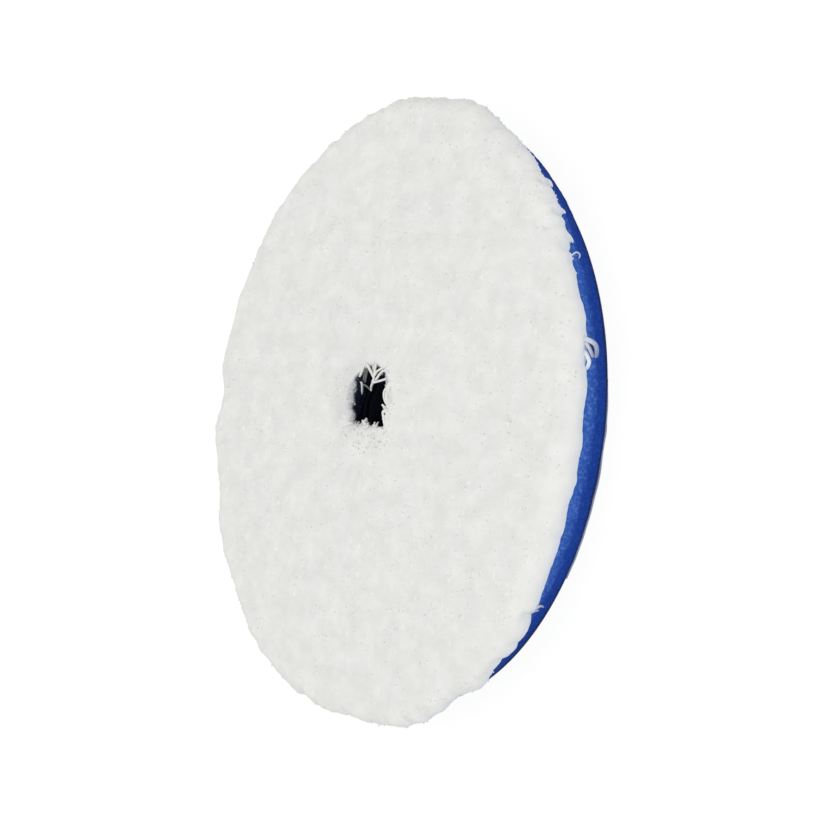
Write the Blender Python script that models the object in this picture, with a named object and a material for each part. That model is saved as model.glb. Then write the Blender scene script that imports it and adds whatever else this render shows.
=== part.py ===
"""Polishing pad: a short tufted pile face on a blue foam disc with a hook-and-loop back.

Metres, +Z up. The origin is the centre of the loop backing's rear face, and +Z points
out through the pile, so the pad lies flat on its loop face.
"""

import math

import bmesh
import bpy

# Disc and hole
PAD_DIAMETER = 0.1405        # foam disc, across the ridge of its rim
HOLE_DIAMETER = 0.0180       # centre hole, punched through every layer but the leaning pile

# Layer thicknesses, rear to front
LOOP_THICKNESS = 0.0010
BOND_THICKNESS = 0.0003
FOAM_THICKNESS = 0.0090
CLOTH_THICKNESS = 0.0007
PILE_HEIGHT = 0.0046
LAYER_GAP = 0.0003           # clearance between bonded layers

# Foam rim: widest at a soft ridge, drawn in towards both faces
RIDGE_HEIGHT = 0.0030        # ridge above the foam's rear face
FRONT_SETBACK = 0.0020       # front edge inside the ridge
REAR_SETBACK = 0.0008        # rear edge inside the ridge
RIDGE_SOFTNESS = 0.0005      # half height of the rounded ridge

# Edges of the other layers, measured inwards from the foam's ridge
LOOP_SETBACK = 0.0009
CLOTH_SETBACK = 0.0018
BOND_SETBACK = 0.0024
BOND_HOLE_MARGIN = 0.0010    # bond films stop this far outside the hole

# Pile form
PILE_OVERHANG = 0.0048       # tufts past the foam's ridge
PILE_ROLL = 0.0044           # width of the rolled edge
PILE_DROOP = 0.0014          # rolled edge hangs this far below the pile's roots
PILE_WIDEST = 0.0007         # widest line above the pile's roots
PILE_CROWN = 0.0006          # face rises this far from its rolled edge to its middle
MOUTH_LEAN = 0.0020          # tufts lean this far into the hole
MOUTH_ROLL = 0.0026          # width of the rolled lip round the hole
MOUTH_HEIGHT = 0.0028        # narrowest line of the mouth above the pile's roots
ROOT_MARGIN = 0.0004         # roots start this far outside the cloth's edges

# Clumped tufts: low swells where plane waves cross, alike on both sides of the axis
CLUMP_DEPTH = 0.0012
CLUMP_WAVES = 5
LONG_PITCH = 0.036
SHORT_PITCH = 0.023
CLUMP_FADE = 0.0060          # clumps fade in over this distance outside the hole's lip
FACE_RINGS = 4               # rings of points between the lip and the rolled edge

SEGMENTS = 80
MERGE_DISTANCE = 1e-6


def pad_radius():
    """Radius of the foam's ridge, which every layer's edge is measured from."""
    return PAD_DIAMETER / 2


def hole_radius():
    """Radius of the punched hole."""
    return HOLE_DIAMETER / 2


def layer_heights():
    """Lower and upper face of each layer, stacked from the floor up with the layer gap between."""
    stack = [
        ("loop_backing", LOOP_THICKNESS),
        ("rear_bond_film", BOND_THICKNESS),
        ("foam_disc", FOAM_THICKNESS),
        ("front_bond_film", BOND_THICKNESS),
        ("base_cloth", CLOTH_THICKNESS),
        ("tufted_pile", PILE_HEIGHT),
    ]
    heights = {}
    base = 0.0
    for name, thickness in stack:
        heights[name] = (base, base + thickness)
        base += thickness + LAYER_GAP
    return heights


def clear_scene():
    """Remove whatever objects the scene holds."""
    for old in list(bpy.data.objects):
        bpy.data.objects.remove(old, do_unlink=True)


def finish(obj, colour, roughness):
    """Give an object its own Principled material."""
    material = bpy.data.materials.new(obj.name)
    material.use_nodes = True
    shader = material.node_tree.nodes["Principled BSDF"]
    shader.inputs["Base Color"].default_value = (*colour, 1.0)
    shader.inputs["Roughness"].default_value = roughness
    shader.inputs["Metallic"].default_value = 0.0
    obj.data.materials.append(material)


def turned(name, profile):
    """Spin a closed (radius, height) profile round Z into a ring-shaped solid."""
    bm = bmesh.new()
    points = [bm.verts.new((radius, 0.0, height)) for radius, height in profile]
    edges = [bm.edges.new((a, b)) for a, b in zip(points, points[1:] + points[:1])]
    bmesh.ops.spin(
        bm,
        geom=points + edges,
        axis=(0.0, 0.0, 1.0),
        cent=(0.0, 0.0, 0.0),
        steps=SEGMENTS,
        angle=2 * math.pi,
        use_merge=True,
    )
    bmesh.ops.remove_doubles(bm, verts=bm.verts[:], dist=MERGE_DISTANCE)
    bmesh.ops.recalc_face_normals(bm, faces=bm.faces[:])
    mesh = bpy.data.meshes.new(name)
    bm.to_mesh(mesh)
    bm.free()
    mesh.shade_smooth()
    mesh.set_sharp_from_angle(angle=math.radians(35))
    obj = bpy.data.objects.new(name, mesh)
    bpy.context.collection.objects.link(obj)
    return obj


def flat_ring(name, inner, outer, heights):
    """A flat layer with square-cut edges."""
    low, high = heights
    return turned(name, [(inner, low), (outer, low), (outer, high), (inner, high)])


def arc(centre, across, up, start, end, count):
    """Points on an ellipse quarter round a (radius, height) centre, both ends included."""
    points = []
    for i in range(count):
        angle = math.radians(start + (end - start) * i / (count - 1))
        points.append((centre[0] + across * math.cos(angle), centre[1] + up * math.sin(angle)))
    return points


def foam_disc(heights):
    """The foam interface, with its rim drawn in on both sides of a soft ridge."""
    low, high = heights
    ridge = pad_radius()
    ridge_height = low + RIDGE_HEIGHT
    # The ridge is rounded between the two slopes of the rim.
    rear_step = REAR_SETBACK * RIDGE_SOFTNESS / RIDGE_HEIGHT
    front_step = FRONT_SETBACK * RIDGE_SOFTNESS / (FOAM_THICKNESS - RIDGE_HEIGHT)
    profile = [
        (hole_radius(), low),
        (ridge - REAR_SETBACK, low),
        (ridge - rear_step, ridge_height - RIDGE_SOFTNESS),
        (ridge, ridge_height),
        (ridge - front_step, ridge_height + RIDGE_SOFTNESS),
        (ridge - FRONT_SETBACK, high),
        (hole_radius(), high),
    ]
    return turned("foam_disc", profile)


def clump(x, y):
    """Height of the tuft clumps at a point of the face, from -1 to 1."""
    total = 0.0
    for wave in range(CLUMP_WAVES):
        heading = math.pi * wave / CLUMP_WAVES
        pitch = LONG_PITCH if wave % 2 else SHORT_PITCH
        total += math.cos(2 * math.pi * (x * math.cos(heading) + y * math.sin(heading)) / pitch)
    return total / CLUMP_WAVES


def pile_profile(heights):
    """Section of the pile: flat roots, rolled and drooping edge, crowned face, leaning mouth."""
    root, top = heights
    tip = pad_radius() + PILE_OVERHANG
    edge = (tip - PILE_ROLL, root + PILE_WIDEST)
    edge_top = top - PILE_CROWN
    mouth = hole_radius() - MOUTH_LEAN
    lip = (mouth + MOUTH_ROLL, root + MOUTH_HEIGHT)
    inner_root = hole_radius() + ROOT_MARGIN
    outer_root = pad_radius() - CLOTH_SETBACK + ROOT_MARGIN
    under = arc(edge, PILE_ROLL, PILE_WIDEST + PILE_DROOP, -90, 0, 3)
    over = arc(edge, PILE_ROLL, edge_top - edge[1], 0, 90, 4)[1:]
    face = []
    for ring in range(1, FACE_RINGS + 1):
        inwards = ring / (FACE_RINGS + 1)
        crown = PILE_CROWN * math.sin(math.pi * inwards)
        face.append((edge[0] + (lip[0] - edge[0]) * inwards, edge_top + crown))
    mouth_lip = arc(lip, MOUTH_ROLL, edge_top - lip[1], 90, 180, 3)
    return [(inner_root, root), (outer_root, root)] + under + over + face + mouth_lip


def tufted_pile(heights):
    """The pile as one soft form, its face and edge gathered into low clumps."""
    root, top = heights
    obj = turned("tufted_pile", pile_profile(heights))
    shoulder = pad_radius() + PILE_OVERHANG - PILE_ROLL
    lip = hole_radius() - MOUTH_LEAN + MOUTH_ROLL
    for vertex in obj.data.vertices:
        x, y, z = vertex.co
        radius = math.hypot(x, y)
        faded = min(1.0, max(0.0, (radius - lip) / CLUMP_FADE))
        swell = CLUMP_DEPTH * clump(x, y) * faded
        # On the rolled edge the clumps stand outwards, on the face upwards. The roots stay flat.
        outwards = min(1.0, max(0.0, (radius - shoulder) / PILE_ROLL))
        upwards = max(0.0, (z - root) / (top - root)) * (1 - outwards)
        stretch = 1 + swell * outwards / radius
        vertex.co = (x * stretch, y * stretch, z + swell * upwards)
    return obj


def build():
    """Make the six layers and hang them on one empty at the pad's reference point."""
    clear_scene()
    heights = layer_heights()
    inner = hole_radius()
    ridge = pad_radius()
    bond_inner = inner + BOND_HOLE_MARGIN
    bond_outer = ridge - BOND_SETBACK

    loop = flat_ring("loop_backing", inner, ridge - LOOP_SETBACK, heights["loop_backing"])
    finish(loop, (0.10, 0.13, 0.24), 0.90)
    rear_bond = flat_ring("rear_bond_film", bond_inner, bond_outer, heights["rear_bond_film"])
    finish(rear_bond, (0.60, 0.58, 0.50), 0.45)
    foam = foam_disc(heights["foam_disc"])
    finish(foam, (0.022, 0.075, 0.34), 0.95)
    front_bond = flat_ring("front_bond_film", bond_inner, bond_outer, heights["front_bond_film"])
    finish(front_bond, (0.60, 0.58, 0.50), 0.45)
    cloth = flat_ring("base_cloth", inner, ridge - CLOTH_SETBACK, heights["base_cloth"])
    finish(cloth, (0.66, 0.67, 0.65), 0.95)
    pile = tufted_pile(heights["tufted_pile"])
    finish(pile, (0.78, 0.79, 0.76), 1.0)

    pad = bpy.data.objects.new("pad", None)
    bpy.context.collection.objects.link(pad)
    for layer in (loop, rear_bond, foam, front_bond, cloth, pile):
        layer.parent = pad


build()
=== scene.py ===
"""Dresses the polishing pad: yarn pile, foam disc, loop cloth, studio light and camera.

Lengths are metres in the frame's own axes. The pad lies on its loop face at z = 0 and
the pile looks up along +Z. In the picture, up is about +X and the near rim is at -Y.
"""

import logging
import math
from dataclasses import dataclass, replace
from enum import Enum
from typing import Any, Iterable, Sequence

import bpy
import numpy as np
from mathutils import Matrix, Vector, noise


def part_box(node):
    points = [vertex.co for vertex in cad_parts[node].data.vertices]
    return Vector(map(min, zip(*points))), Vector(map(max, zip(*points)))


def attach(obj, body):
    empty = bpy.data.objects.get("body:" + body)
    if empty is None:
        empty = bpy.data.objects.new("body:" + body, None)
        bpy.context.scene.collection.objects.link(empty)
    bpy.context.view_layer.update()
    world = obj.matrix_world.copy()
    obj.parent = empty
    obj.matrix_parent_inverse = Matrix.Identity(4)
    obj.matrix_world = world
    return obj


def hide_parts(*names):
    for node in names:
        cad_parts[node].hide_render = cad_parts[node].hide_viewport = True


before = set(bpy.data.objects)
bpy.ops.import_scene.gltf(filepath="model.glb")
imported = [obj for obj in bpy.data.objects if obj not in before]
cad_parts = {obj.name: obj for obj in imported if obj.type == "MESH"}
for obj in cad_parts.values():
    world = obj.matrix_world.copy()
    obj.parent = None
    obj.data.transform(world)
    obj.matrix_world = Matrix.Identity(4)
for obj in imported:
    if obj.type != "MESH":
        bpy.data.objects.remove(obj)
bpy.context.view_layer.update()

LOG = logging.getLogger("pad")
BODY = "root"
MM = 0.001
SWIRL_SHIFT = Vector((31.7, 11.3, 5.1))

Point = tuple[float, float]
Triple = tuple[float, float, float]
Colour = tuple[float, float, float]
Tube = tuple[list[Vector], list[tuple[int, ...]]]


class Zone(Enum):
    """Rings of the pile that are grown as separate pieces, with the radius where each ends."""

    MOUTH = 0.016
    CORE = 0.030
    INNER = 0.040
    MIDDLE = 0.0485
    OUTER = 0.0555
    BORDER = 0.062
    SHOULDER = 0.068
    EDGE = 0.0725
    # The last ring takes all that is left.
    RIM = 1.0


def smooth(value: float, low: float, high: float) -> float:
    """0 below low, 1 above high and a soft step between."""
    t = min(1.0, max(0.0, (value - low) / (high - low)))
    return t * t * (3 - 2 * t)


def swirl(x: float, y: float, size: float, plane: float) -> Vector:
    """A soft wandering direction in the pad's plane, about -1 to 1 along each axis."""
    place = Vector((x / size, y / size, plane))
    return Vector((noise.noise(place), noise.noise(place + SWIRL_SHIFT), 0.0)) * 2


def flat_noise(point: Vector, size: float, plane: float) -> float:
    """Soft noise over the pad's plane, about -1 to 1, the same at every height."""
    return noise.noise(Vector((point.x, point.y, 0.0)) / size + Vector((0.0, 0.0, plane)))


class Value:
    """One output socket of a shader tree, with the operators that add Math nodes."""

    def __init__(self, tree: "ShaderTree", socket: bpy.types.NodeSocket) -> None:
        """Keep the tree and the socket."""
        self.tree = tree
        self.socket = socket

    def _math(self, operation: str, first: Any, second: Any) -> "Value":
        """Add one Math node that works on values or numbers."""
        return self.tree.node("ShaderNodeMath", {0: first, 1: second}, operation=operation)

    def __add__(self, other: Any) -> "Value":
        """self + other."""
        return self._math("ADD", self, other)

    def __radd__(self, other: Any) -> "Value":
        """other + self, so that sum() can add values."""
        return self._math("ADD", other, self)

    def __sub__(self, other: Any) -> "Value":
        """self - other."""
        return self._math("SUBTRACT", self, other)

    def __mul__(self, other: Any) -> "Value":
        """self * other."""
        return self._math("MULTIPLY", self, other)


class Graph:
    """A node tree with one method that adds any node."""

    def __init__(self, tree: bpy.types.NodeTree) -> None:
        """Keep the tree."""
        self.tree = tree

    def add(self, kind: str, inputs: dict[Any, Any], **settings: Any) -> bpy.types.Node:
        """Add a node.

        Args:
            kind: the node's type name.
            inputs: what fills its inputs, as for fill.
            settings: attributes that are set first.

        Returns:
            The node.
        """
        made = self.tree.nodes.new(kind)
        for name, setting in settings.items():
            setattr(made, name, setting)
        self.fill(made, inputs)
        return made

    def fill(self, node: bpy.types.Node, inputs: dict[Any, Any]) -> None:
        """Fill a node's inputs.

        Args:
            node: the node.
            inputs: socket name or index to a value, an output socket or a constant.
        """
        for key, given in inputs.items():
            source = given.socket if isinstance(given, Value) else given
            if isinstance(source, bpy.types.NodeSocket):
                self.tree.links.new(source, node.inputs[key])
            else:
                node.inputs[key].default_value = source


class ShaderTree(Graph):
    """A material's node tree, whose outputs come as values."""

    # How far outside the hole's wall its shade reaches, and the size and height of the waves in its top.
    WELL_MARGIN = 0.8 * MM
    WELL_WAVE = 1.2 * MM

    def __init__(self, name: str) -> None:
        """Make a material that holds nothing but its output and a Principled shader."""
        self.material = bpy.data.materials.new(name)
        self.material.use_nodes = True
        super().__init__(self.material.node_tree)
        self.shader = self.tree.nodes["Principled BSDF"]

    def node(self, kind: str, inputs: dict[Any, Any], output: Any = 0, **settings: Any) -> Value:
        """Add a node as add does, and return the output with a name or index."""
        return Value(self, self.add(kind, inputs, **settings).outputs[output])

    def place(self) -> Value:
        """The point on the piece, in Object coordinates."""
        return self.node("ShaderNodeTexCoord", {}, "Object")

    def along(self, where: Value, axis: str) -> Value:
        """One coordinate of a point."""
        return self.node("ShaderNodeSeparateXYZ", {0: where}, axis)

    def noise(self, where: Value, size: float, detail: float = 2.0, rough: float = 0.5) -> Value:
        """Soft noise with features of about the given size, from 0 to 1."""
        inputs = {"Vector": where, "Scale": 1.0 / size, "Detail": detail, "Roughness": rough}
        return self.node("ShaderNodeTexNoise", inputs, "Fac")

    def scaled(self, where: Value, factors: Sequence[float]) -> Value:
        """The point times a factor along each axis."""
        return self.node("ShaderNodeVectorMath", {0: where, 1: factors}, operation="MULTIPLY")

    def stretched(self, where: Value, sizes: Triple) -> Value:
        """The point measured in steps of a size along each axis."""
        return self.scaled(where, tuple(1.0 / size for size in sizes))

    def cells(self, where: Value, size: float) -> Value:
        """Distance from the middle of the nearest cell, about 0 to 1."""
        return self.node("ShaderNodeTexVoronoi", {"Vector": where, "Scale": 1.0 / size}, "Distance")

    def ramp(self, factor: Value, low: float, high: float) -> Value:
        """A value mapped from low..high to 0..1 and kept there; low may be the larger number."""
        inputs = {"Value": factor, "From Min": low, "From Max": high}
        return self.node("ShaderNodeMapRange", inputs, "Result", clamp=True)

    def blend(self, share: Value, under: Any, coat: Colour) -> Value:
        """Mix a colour, or a value that is one, with a coat of another."""
        below = under if isinstance(under, Value) else (*under, 1.0)
        return self.node("ShaderNodeMix", {0: share, 6: below, 7: (*coat, 1.0)}, 2, data_type="RGBA")

    def painted(self, colour: Any, coats: Iterable[tuple[Value, Colour]]) -> Value:
        """A colour under coats of others, each with its share.

        Args:
            colour: the lowest colour.
            coats: share and colour of each coat, the lowest first.

        Returns:
            The mixed colour.
        """
        for share, coat in coats:
            colour = self.blend(share, colour, coat)
        return colour

    def reach(self, where: Value, middle: Triple) -> Value:
        """Distance from an upright line through a point at z = 0."""
        flat = self.scaled(where, (1.0, 1.0, 0.0))
        return self.node("ShaderNodeVectorMath", {0: flat, 1: middle}, "Value", operation="DISTANCE")

    def well(self, where: Value, radius: float, top: float, fade: float = 1.0 * MM,
             slope: float = 0.0) -> Value:
        """1 low in the centre hole, where shade is painted, fading to 0 at a height and away from its wall.

        Args:
            where: the point on the piece.
            radius: radius of the wall.
            top: height where the shade starts.
            fade: height over which it grows full.
            slope: rise of the top along +X.

        Returns:
            The share of shade.
        """
        near = self.ramp(self.reach(where, (0.0, 0.0, 0.0)), radius + self.WELL_MARGIN, radius)
        wave = (self.noise(where, self.WELL_WAVE) - 0.5) * self.WELL_WAVE
        level = self.along(where, "Z") + wave - self.along(where, "X") * slope
        return near * self.ramp(level, top, top - fade)

    def bump(self, height: Value, strength: float, depth: float) -> Value:
        """A normal that follows a height."""
        inputs = {"Strength": strength, "Distance": depth, "Height": height}
        return self.node("ShaderNodeBump", inputs, "Normal")

    def finish(self, colour: Value, rough: Any, specular: float, **more: Value) -> bpy.types.Material:
        """Feed the Principled shader.

        Args:
            colour: the base colour.
            rough: the roughness, a value or a number.
            specular: the specular level.
            more: values for other sockets, by name.

        Returns:
            The finished material.
        """
        inputs = {"Base Color": colour, "Roughness": rough, "Specular IOR Level": specular, **more}
        self.fill(self.shader, inputs)
        return self.material


@dataclass(frozen=True)
class YarnFinish:
    """Soft white yarn with a faint mottle, and painted light and shade: a paler roll, a blue skirt,
    highlights, and shade in and beside the hole.
    """

    name: str = "yarn"
    base: Colour = (0.957, 0.960, 0.932)
    cool: Colour = (0.941, 0.954, 0.932)
    warm: Colour = (0.960, 0.949, 0.917)
    # Painted blue bounce light from the foam, on the rolled edge's skirt.
    low: Colour = (0.88, 0.935, 0.985)
    dull: Colour = (0.824, 0.828, 0.804)
    # Painted fill light on the rolled edge.
    painted_fill: Colour = (0.97, 0.97, 0.962)
    # Colour of the painted highlights on strands.
    painted_glint: Colour = (0.99, 0.99, 0.985)
    # Colour of the painted shade beside the hole and in it.
    gloom: Colour = (0.34, 0.35, 0.40)
    # Near-black painted shade deep in the hole.
    depth: Colour = (0.012, 0.015, 0.034)
    # Cool and warm patches, with fine fibres of the base colour.
    patch_size: float = 9 * MM
    patch_range: Point = (0.35, 0.65)
    fibre_size: float = 0.35 * MM
    fibre_share: float = 0.3
    soft_range: Point = (0.3, 0.7)
    # Sizes of the dull patches, each with its share, and how they are drawn out along Y.
    tones: tuple[Point, ...] = ((6.0 * MM, 0.37), (2.6 * MM, 0.22), (1.2 * MM, 0.04))
    lie: Triple = (0.72, 1.3, 1.0)
    # 1 for the face's own painted shade beside the hole, painted pale roll and painted highlights, 0 for yarn
    # without them.
    face_share: float = 1.0
    # Painted shade where the face slopes into the hole: its middle, the radii where it ends and where it is
    # full, its share.
    dip_middle: Triple = (3.0 * MM, 6.0 * MM, 0.0)
    dip_radii: Point = (12.0 * MM, 5.0 * MM)
    dip_share: float = 0.2
    # Heights between which the rolled edge is painted paler as painted fill light, and those where its skirt
    # takes the low colour, a painted blue bounce from the foam.
    roll_heights: Point = (16.8 * MM, 14.6 * MM)
    skirt_heights: Point = (14.1 * MM, 12.6 * MM)
    # Painted highlights: bright strokes where strands catch the light, strewn in groups.
    stroke_size: Triple = (1.3 * MM, 1.1 * MM, 1.0 * MM)
    stroke_range: Point = (0.69, 0.78)
    stroke_share: float = 0.8
    group_size: float = 6 * MM
    group_range: Point = (0.46, 0.60)
    # The shade in the hole: gloom starts above its top and depth below it.
    well_radius: float = 10.4 * MM
    well_top: float = 16.3 * MM
    well_slope: float = 0.2
    gloom_rise: float = 0.8 * MM
    gloom_fade: float = 1.4 * MM
    gloom_share: float = 0.8
    depth_drop: float = 0.4 * MM
    depth_fade: float = 0.5 * MM
    # Strength and depth of the fibres' bump.
    relief: Point = (0.25, 0.1 * MM)
    roughness: float = 1.0
    specular: float = 0.1

    def material(self) -> bpy.types.Material:
        """Build the material.

        Returns:
            The finished material.
        """
        tree = ShaderTree(self.name)
        where = tree.place()
        height = tree.along(where, "Z")
        patch = tree.ramp(tree.noise(where, self.patch_size, detail=3.0), *self.patch_range)
        fibre = tree.ramp(tree.noise(where, self.fibre_size, detail=1.0), *self.soft_range)
        laid = tree.stretched(where, self.lie)
        tone = sum(tree.ramp(tree.noise(laid, size, detail=0.0), *self.soft_range) * share
                   for size, share in self.tones)
        dip = tree.ramp(tree.reach(where, self.dip_middle), *self.dip_radii)
        painted_glint = tree.noise(tree.stretched(where, self.stroke_size), 1.0, detail=0.0)
        group = tree.ramp(tree.noise(where, self.group_size, detail=0.0), *self.group_range)
        strewn = group * (self.stroke_share * self.face_share)
        high, low = self.well_top + self.gloom_rise, self.well_top - self.depth_drop
        shade = tree.well(where, self.well_radius, high, self.gloom_fade, self.well_slope)
        dark = tree.well(where, self.well_radius, low, self.depth_fade, self.well_slope)
        colour = tree.painted(self.cool, (
            (patch, self.warm),
            (fibre * self.fibre_share, self.base),
            (tone, self.dull),
            (dip * (self.dip_share * self.face_share), self.gloom),
            (tree.ramp(height, *self.roll_heights) * self.face_share, self.painted_fill),
            (tree.ramp(painted_glint, *self.stroke_range) * strewn, self.painted_glint),
            (tree.ramp(height, *self.skirt_heights), self.low),
            (shade * self.gloom_share, self.gloom),
            (dark, self.depth),
        ))
        return tree.finish(colour, self.roughness, self.specular, Normal=tree.bump(fibre, *self.relief))


FACE_YARN = YarnFinish()
# The body's yarn is painted a touch darker than the tufts', as painted shade under them.
BODY_YARN = YarnFinish("pile_body", (0.954, 0.957, 0.929), (0.938, 0.951, 0.929), (0.957, 0.946, 0.914))
# Strands in the hole, whose painted shade starts lower down.
HOLE_YARN = YarnFinish("loose_yarn", face_share=0.0, well_top=15.6 * MM, well_slope=0.0)

# Yarn that lies off the face and has no part in the hole's own shade.
LOOSE_YARN = YarnFinish(face_share=0.0, well_top=0.0)
# Strands over the foam's edge, painted bluish and darker: painted shade and painted blue bounce from the
# foam.
EDGE_YARN = replace(LOOSE_YARN, name="edge_yarn", base=(0.76, 0.80, 0.90), cool=(0.68, 0.74, 0.86),
                    warm=(0.76, 0.80, 0.88))
# The pulled loop's white yarn painted grey-blue, bluer and darker low down: painted shade and painted blue
# bounce from the foam.
SHADED_LOOP_YARN = replace(LOOSE_YARN, name="grey_yarn", base=(0.66, 0.73, 0.85), cool=(0.62, 0.69, 0.83),
                    warm=(0.66, 0.72, 0.84), low=(0.26, 0.31, 0.54),
                    skirt_heights=(12.9 * MM, 10.6 * MM))
# White strands on the hole's far wall, painted dark grey as painted shade.
WALL_YARN = replace(LOOSE_YARN, name="wall_yarn", base=(0.26, 0.28, 0.28), cool=(0.20, 0.22, 0.22),
                    warm=(0.26, 0.27, 0.26), dull=(0.14, 0.15, 0.16))
# Near-black navy yarn for a strand that stands in for the shade inside the pulled loop.
DEEP_YARN = replace(LOOSE_YARN, name="deep_yarn", base=(0.10, 0.10, 0.18), cool=(0.08, 0.08, 0.15),
                    warm=(0.10, 0.10, 0.17), low=(0.06, 0.07, 0.16), dull=(0.06, 0.06, 0.12))


@dataclass(frozen=True)
class FoamFinish:
    """Blue open-celled foam whose band above the ridge is painted paler, as painted light from the lamps and
    from the white pile.
    """

    ridge_height: float
    name: str = "foam"
    deep: Colour = (0.010, 0.064, 0.42)
    # The band above the ridge: painted light.
    pale: Colour = (0.052, 0.160, 0.63)
    fleck: Colour = (0.165, 0.34, 0.88)
    # Painted shade in the hollows of the cells.
    pit: Colour = (0.006, 0.028, 0.17)
    # Painted shade deep in the centre hole.
    depth: Colour = (0.003, 0.004, 0.011)
    cell_size: float = 0.75 * MM
    # The deep band turns to the paler painted-light band between these heights below and above the ridge,
    # along a wandering line.
    band: Point = (0.7 * MM, 1.3 * MM)
    wander_size: float = 4 * MM
    wander: float = 1.6 * MM
    # Flecks: their share on the deep band, and what the painted-light band adds to it.
    fleck_range: Point = (0.48, 0.72)
    fleck_least: float = 0.15
    fleck_more: float = 0.85
    pit_range: Point = (0.42, 0.12)
    pit_share: float = 0.25
    relief_range: Point = (0.1, 0.6)
    grain_roughness: float = 0.6
    grain_share: float = 0.6
    relief: Point = (0.5, 0.15 * MM)
    # Where the painted shade in the hole lies: its wall radius and the height where it starts.
    well_radius: float = 14.0 * MM
    well_top: float = 15.0 * MM
    roughness: float = 0.95
    specular: float = 0.2

    def material(self) -> bpy.types.Material:
        """Build the material.

        Returns:
            The finished material.
        """
        tree = ShaderTree(self.name)
        where = tree.place()
        wander = (tree.noise(where, self.wander_size, detail=3.0) - 0.5) * self.wander
        line = tree.along(where, "Z") + wander
        front = tree.ramp(line, self.ridge_height - self.band[0], self.ridge_height + self.band[1])
        grain = tree.noise(where, self.cell_size, detail=3.0, rough=self.grain_roughness)
        cells = tree.cells(where, self.cell_size)
        flecks = tree.ramp(grain, *self.fleck_range) * (front * self.fleck_more + self.fleck_least)
        colour = tree.painted(self.deep, (
            (front, self.pale),
            (flecks, self.fleck),
            (tree.ramp(cells, *self.pit_range) * self.pit_share, self.pit),
            (tree.well(where, self.well_radius, self.well_top), self.depth),
        ))
        relief = tree.ramp(cells, *self.relief_range) + grain * self.grain_share
        return tree.finish(colour, self.roughness, self.specular, Normal=tree.bump(relief, *self.relief))


@dataclass(frozen=True)
class ClothFinish:
    """A knitted or brushed cloth of one colour with a fine rib."""

    # At scale 1 a Wave texture's bands repeat after this length.
    WAVE_LENGTH = 0.314

    name: str
    base: Colour
    shade: Colour
    rib: float = 0.8 * MM
    distortion: float = 1.2
    # Sizes of the grain and of the patches, in ribs, and what rib, grain and patches add to the tone.
    grain: float = 0.5
    patch: float = 12.0
    shares: Triple = (0.6, 0.4, 0.3)
    tone_range: Point = (0.3, 0.9)
    relief: Point = (0.4, 0.15 * MM)
    # Painted shade in the centre hole: its colour, its wall radius and the height where it starts.
    depth: Colour = (0.004, 0.005, 0.012)
    well_radius: float = 11.0 * MM
    well_top: float = 15.0 * MM
    roughness: float = 0.95
    specular: float = 0.2

    def material(self) -> bpy.types.Material:
        """Build the material.

        Returns:
            The finished material.
        """
        tree = ShaderTree(self.name)
        where = tree.place()
        inputs = {"Vector": where, "Scale": self.WAVE_LENGTH / self.rib, "Distortion": self.distortion,
                  "Detail": 1.0}
        rib = tree.node("ShaderNodeTexWave", inputs, "Fac", wave_type="BANDS", bands_direction="X")
        grain = tree.noise(where, self.grain * self.rib)
        patch = tree.noise(where, self.patch * self.rib)
        tone = rib * self.shares[0] + grain * self.shares[1] + patch * self.shares[2]
        colour = tree.painted(self.shade, (
            (tree.ramp(tone, *self.tone_range), self.base),
            (tree.well(where, self.well_radius, self.well_top), self.depth),
        ))
        normal = tree.bump(rib + grain, *self.relief)
        return tree.finish(colour, self.roughness, self.specular, Normal=normal)


GROUND_CLOTH = ClothFinish("ground_cloth", (0.66, 0.67, 0.65), (0.52, 0.53, 0.52))
LOOP_CLOTH = ClothFinish("loop_cloth", (0.085, 0.12, 0.32), (0.055, 0.09, 0.26), 0.9 * MM)
LOOP_THREAD = ClothFinish("loop_thread", (0.54, 0.57, 0.68), (0.44, 0.47, 0.58), 0.4 * MM)


@dataclass(frozen=True)
class FilmFinish:
    """Set adhesive: a milky, slightly shiny film with small bubbles."""

    name: str = "bond_film"
    base: Colour = (0.60, 0.58, 0.50)
    haze: Colour = (0.46, 0.45, 0.40)
    # Painted shade deep in the centre hole.
    depth: Colour = (0.004, 0.005, 0.012)
    spot_size: float = 1.5 * MM
    haze_range: Point = (0.4, 0.7)
    # Roughness: the spots it grows over, its least and what the spots add.
    rough_range: Point = (0.2, 0.9)
    rough_least: float = 0.35
    rough_more: float = 0.3
    # Where the painted shade in the hole lies: its wall radius and the height where it starts.
    well_radius: float = 14.0 * MM
    well_top: float = 15.0 * MM
    specular: float = 0.4

    def material(self) -> bpy.types.Material:
        """Build the material.

        Returns:
            The finished material.
        """
        tree = ShaderTree(self.name)
        where = tree.place()
        spots = tree.noise(where, self.spot_size)
        colour = tree.painted(self.base, (
            (tree.ramp(spots, *self.haze_range), self.haze),
            (tree.well(where, self.well_radius, self.well_top), self.depth),
        ))
        rough = tree.ramp(spots, *self.rough_range) * self.rough_more + self.rough_least
        return tree.finish(colour, rough, self.specular)


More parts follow.
